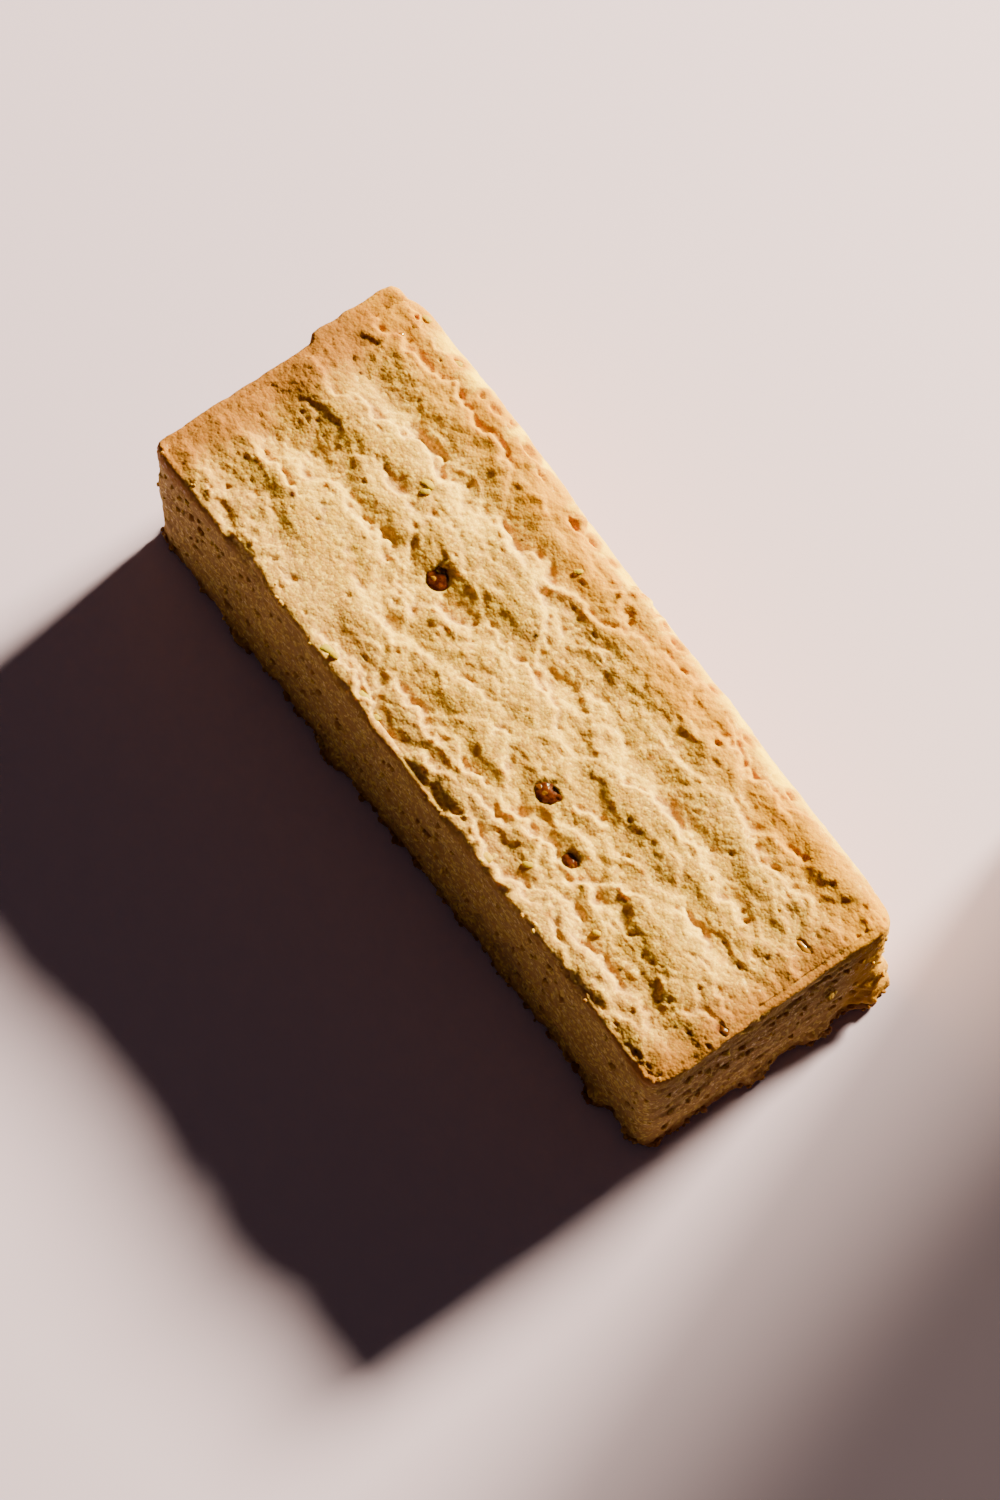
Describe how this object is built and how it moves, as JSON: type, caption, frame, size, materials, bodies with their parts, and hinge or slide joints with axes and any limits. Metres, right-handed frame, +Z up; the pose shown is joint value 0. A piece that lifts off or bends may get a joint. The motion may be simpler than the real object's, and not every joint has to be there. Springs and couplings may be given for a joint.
{
  "type": "shortbread biscuit",
  "caption": "Thick oblong finger of baked shortbread with a torn golden top, crisp knife-cut sides, one rounded rim and a browned, slightly ragged foot.",
  "frame": {"origin": "middle of the finger's box, on its underside", "axes": "+X along the length towards the end with the narrower, thinner section; +Y across the width towards the rounded rim of the slab; +Z up from the underside to the top"},
  "size_m": [0.0776, 0.03, 0.0202],
  "materials": {
    "baked_shortbread": "dry, granular pale gold crumb, browner at the ends, with a dark brown underside",
    "melted_sugar": "glossy dark red-brown caramel",
    "lemon_zest": "waxy yellow to yellow-green flecks"
  },
  "bodies": {
    "root": {"shortbread": "baked_shortbread"}
  },
  "joints": []
}
